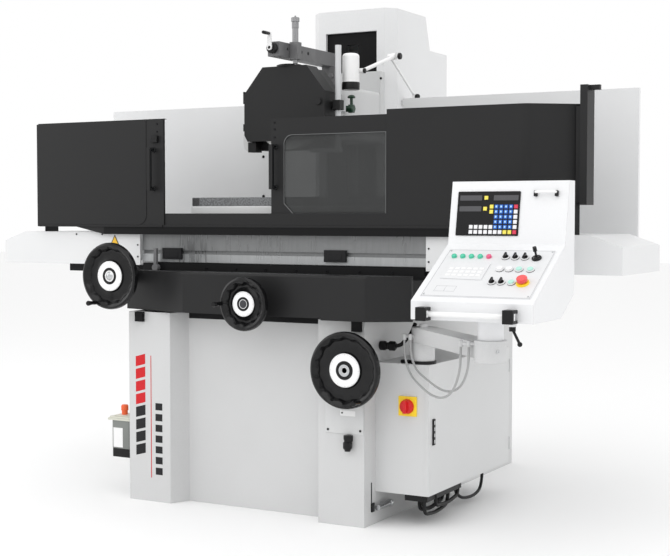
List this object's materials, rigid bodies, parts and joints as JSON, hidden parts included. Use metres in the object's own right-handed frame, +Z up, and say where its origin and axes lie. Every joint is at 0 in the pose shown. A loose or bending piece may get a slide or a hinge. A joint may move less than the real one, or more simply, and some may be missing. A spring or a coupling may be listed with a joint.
{
  "type": "surface grinder",
  "caption": "Horizontal-spindle surface grinder with reciprocating table, magnetic chuck, sliding front guards, fixed column, handwheels and a swinging operator pendant.",
  "frame": {"origin": "on the floor, in the flat underside of the base, below the spindle axis", "axes": "+X to the operator's right along the table's travel, +Y from the operator to the column, +Z up"},
  "size_m": [3.136, 2.226, 2.316],
  "materials": {
    "light_paint": "satin",
    "pendant_paint": "satin",
    "black_paint": "satin",
    "black_plastic": "gloss",
    "ground_steel": "ground",
    "bright_steel": "polished",
    "grey_iron": "painted",
    "chuck_body_paint": "satin",
    "abrasive": "rough",
    "window": "clear",
    "signal_red": "gloss",
    "signal_green": "gloss",
    "button_white": "gloss",
    "overlay_film": "matte",
    "lamp_white": "gloss",
    "hose_rubber": "matte",
    "cord_grey": "matte",
    "tank_plastic": "translucent"
  },
  "bodies": {
    "machine_base": {"base_casting": "light_paint", "base_cover_plate": "light_paint", "front_skirt": "black_paint", "lubricator": "tank_plastic", "cabinet_shell": "light_paint", "cabinet_backplate": "ground_steel", "cabinet_hose": "hose_rubber", "column_casting": "light_paint", "column_way_cover": "black_paint", "arm_brackets": "light_paint"},
    "saddle": {"saddle_casting": "black_paint", "apron": "black_paint", "hydraulic_cylinder": "bright_steel", "table_troughs": "light_paint", "back_panels": "light_paint", "guard_frame": "black_paint"},
    "table": {"table_casting": "ground_steel", "chuck_body": "chuck_body_paint", "chuck_plate": "ground_steel"},
    "head": {"head_carriage": "light_paint", "head_housing": "light_paint", "spindle_motor": "grey_iron", "dresser_bridge": "grey_iron", "coolant_line": "light_paint"},
    "spindle": {"spindle_shaft": "bright_steel", "grinding_wheel": "abrasive"},
    "wheel_guard_door": {"wheel_guard_door": "black_paint"},
    "dresser_slide": {"dresser_slide": "bright_steel"},
    "dresser_crank": {"dresser_crank": "bright_steel"},
    "elevating_screw": {"elevating_screw": "bright_steel"},
    "elevating_wheel": {"elevating_wheel": "black_plastic"},
    "cross_wheel": {"cross_wheel": "black_plastic"},
    "table_wheel": {"table_wheel": "black_plastic"},
    "reversing_lever": {"reversing_lever": "grey_iron"},
    "left_door": {"left_door": "black_paint"},
    "right_door": {"right_door": "black_paint", "door_glass": "window"},
    "cabinet_door": {"cabinet_door": "light_paint"},
    "isolator_knob": {"isolator_knob": "signal_red"},
    "lamp_lower_arm": {"lamp_lower_arm": "lamp_white"},
    "lamp_upper_arm": {"lamp_upper_arm": "lamp_white"},
    "lamp_shade": {"lamp_shade": "lamp_white"},
    "pendant_arm": {"pendant_arm": "light_paint", "pendant_cord_a": "cord_grey", "pendant_cord_b": "cord_grey"},
    "pendant": {"pendant_shell": "pendant_paint", "control_overlay": "overlay_film"},
    "clamp_lever": {"clamp_lever": "black_plastic"},
    "stop_button": {"stop_button": "signal_red"},
    "joystick": {"joystick": "black_plastic"},
    "push_button_1": {"push_button_1": "button_white"},
    "selector_1": {"selector_1": "black_plastic"},
    "push_button_2": {"push_button_2": "button_white"},
    "selector_2": {"selector_2": "black_plastic"},
    "push_button_3": {"push_button_3": "signal_green"},
    "selector_3": {"selector_3": "black_plastic"},
    "push_button_4": {"push_button_4": "signal_green"},
    "selector_4": {"selector_4": "black_plastic"},
    "push_button_5": {"push_button_5": "signal_green"},
    "selector_5": {"selector_5": "black_plastic"}
  },
  "joints": [
    {"name": "saddle_cross_slide", "type": "slide", "parent": "machine_base", "child": "saddle", "axis": [0, 1, 0], "range_m": [-0.195, 0.195]},
    {"name": "table_slide", "type": "slide", "parent": "saddle", "child": "table", "axis": [1, 0, 0], "range_m": [-0.5, 0.5]},
    {"name": "head_slide", "type": "slide", "parent": "machine_base", "child": "head", "axis": [0, 0, 1], "range_m": [-0.2, 0.17]},
    {"name": "spindle_turn", "type": "hinge", "parent": "head", "child": "spindle", "pos_m": [0, -0.4, 1.777], "axis": [0, 1, 0], "continuous": true},
    {"name": "wheel_guard_hinge", "type": "hinge", "parent": "head", "child": "wheel_guard_door", "pos_m": [-0.225, -0.355, 1.8], "axis": [0, 0, 1], "range_deg": [-95, 0]},
    {"name": "dresser_cross_slide", "type": "slide", "parent": "head", "child": "dresser_slide", "axis": [0, 1, 0], "range_m": [-0.03, 0.03]},
    {"name": "dresser_crank_turn", "type": "hinge", "parent": "head", "child": "dresser_crank", "pos_m": [0, -0.56, 2.05], "axis": [0, 1, 0], "continuous": true},
    {"name": "elevating_screw_turn", "type": "hinge", "parent": "machine_base", "child": "elevating_screw", "pos_m": [0.006, 0.33, 1.7], "axis": [0, 0, 1], "continuous": true},
    {"name": "elevating_wheel_turn", "type": "hinge", "parent": "machine_base", "child": "elevating_wheel", "pos_m": [0.576, -0.925, 0.665], "axis": [0, 1, 0], "continuous": true},
    {"name": "cross_wheel_turn", "type": "hinge", "parent": "saddle", "child": "cross_wheel", "pos_m": [0.125, -0.985, 0.926], "axis": [0, 1, 0], "continuous": true},
    {"name": "table_wheel_turn", "type": "hinge", "parent": "saddle", "child": "table_wheel", "pos_m": [-0.6, -0.96, 1.027], "axis": [0, 1, 0], "continuous": true},
    {"name": "reversing_lever_pivot", "type": "hinge", "parent": "saddle", "child": "reversing_lever", "pos_m": [-0.556, -0.68, 1.056], "axis": [0, 1, 0], "range_deg": [-20, 20]},
    {"name": "left_door_slide", "type": "slide", "parent": "saddle", "child": "left_door", "axis": [1, 0, 0], "range_m": [0, 0.57]},
    {"name": "right_door_slide", "type": "slide", "parent": "saddle", "child": "right_door", "axis": [1, 0, 0], "range_m": [0, 0.5]},
    {"name": "cabinet_door_hinge", "type": "hinge", "parent": "machine_base", "child": "cabinet_door", "pos_m": [0.866, 0.16, 0.41], "axis": [0, 0, 1], "range_deg": [0, 110]},
    {"name": "isolator_turn", "type": "hinge", "parent": "machine_base", "child": "isolator_knob", "pos_m": [0.772, -0.76, 0.508], "axis": [0, 1, 0], "range_deg": [0, 90]},
    {"name": "lamp_swivel", "type": "hinge", "parent": "machine_base", "child": "lamp_lower_arm", "pos_m": [0.302, 0.3, 1.885], "axis": [0, 0, 1], "range_deg": [0, 60]},
    {"name": "lamp_elbow", "type": "hinge", "parent": "lamp_lower_arm", "child": "lamp_upper_arm", "pos_m": [0.297, 0.05, 2.057], "axis": [1, 0, 0], "range_deg": [-8, 0]},
    {"name": "lamp_neck", "type": "hinge", "parent": "lamp_upper_arm", "child": "lamp_shade", "pos_m": [0.288, -0.262, 1.96], "axis": [1, 0, 0], "range_deg": [0, 15]},
    {"name": "pendant_arm_swing", "type": "hinge", "parent": "machine_base", "child": "pendant_arm", "pos_m": [0.817, -0.692, 0.8], "axis": [0, 0, 1], "range_deg": [-20, 0]},
    {"name": "pendant_swivel", "type": "hinge", "parent": "pendant_arm", "child": "pendant", "pos_m": [1.311, -1.174, 0.88], "axis": [0, 0, 1], "range_deg": [-20, 60]},
    {"name": "clamp_lever_turn", "type": "hinge", "parent": "pendant", "child": "clamp_lever", "pos_m": [1.452, -1.318, 0.9], "axis": [0, 0, 1], "range_deg": [-60, 60]},
    {"name": "stop_button_press", "type": "slide", "parent": "pendant", "child": "stop_button", "axis": [0, 0.5164, -0.8563], "range_m": [0, 0.004], "stiffness_N_per_m": 2000, "springref_m": -0.001},
    {"name": "joystick_tilt", "type": "hinge", "parent": "pendant", "child": "joystick", "pos_m": [1.461, -1.10189, 1.13958], "axis": [1, 0, 0], "range_deg": [-15, 15], "stiffness_Nm_per_rad": 0.8},
    {"name": "push_button_1_press", "type": "slide", "parent": "pendant", "child": "push_button_1", "axis": [0, 0.5164, -0.8563], "range_m": [0, 0.004], "stiffness_N_per_m": 900, "springref_m": -0.001},
    {"name": "push_button_2_press", "type": "slide", "parent": "pendant", "child": "push_button_2", "axis": [0, 0.5164, -0.8563], "range_m": [0, 0.004], "stiffness_N_per_m": 900, "springref_m": -0.001},
    {"name": "push_button_3_press", "type": "slide", "parent": "pendant", "child": "push_button_3", "axis": [0, 0.5164, -0.8563], "range_m": [0, 0.004], "stiffness_N_per_m": 900, "springref_m": -0.001},
    {"name": "push_button_4_press", "type": "slide", "parent": "pendant", "child": "push_button_4", "axis": [0, 0.5164, -0.8563], "range_m": [0, 0.004], "stiffness_N_per_m": 900, "springref_m": -0.001},
    {"name": "push_button_5_press", "type": "slide", "parent": "pendant", "child": "push_button_5", "axis": [0, 0.5164, -0.8563], "range_m": [0, 0.004], "stiffness_N_per_m": 900, "springref_m": -0.001},
    {"name": "selector_1_turn", "type": "hinge", "parent": "pendant", "child": "selector_1", "pos_m": [1.34, -1.10121, 1.14233], "axis": [0, -0.5164, 0.8563], "range_deg": [-45, 45]},
    {"name": "selector_2_turn", "type": "hinge", "parent": "pendant", "child": "selector_2", "pos_m": [1.378, -1.10207, 1.14181], "axis": [0, -0.5164, 0.8563], "range_deg": [-45, 45]},
    {"name": "selector_3_turn", "type": "hinge", "parent": "pendant", "child": "selector_3", "pos_m": [1.416, -1.10207, 1.14181], "axis": [0, -0.5164, 0.8563], "range_deg": [-45, 45]},
    {"name": "selector_4_turn", "type": "hinge", "parent": "pendant", "child": "selector_4", "pos_m": [1.343, -1.24336, 1.0566], "axis": [0, -0.5164, 0.8563], "range_deg": [-45, 45]},
    {"name": "selector_5_turn", "type": "hinge", "parent": "pendant", "child": "selector_5", "pos_m": [1.379, -1.24336, 1.0566], "axis": [0, -0.5164, 0.8563], "range_deg": [-45, 45]}
  ],
  "couplings": [
    {"joint": "table_wheel_turn", "follows": "table_slide", "rad_per_m": 57.12},
    {"joint": "cross_wheel_turn", "follows": "saddle_cross_slide", "rad_per_m": 1256.6},
    {"joint": "elevating_screw_turn", "follows": "head_slide", "rad_per_m": 628.32},
    {"joint": "elevating_wheel_turn", "follows": "head_slide", "rad_per_m": 3141.6},
    {"joint": "dresser_crank_turn", "follows": "dresser_cross_slide", "rad_per_m": 1570.8}
  ]
}
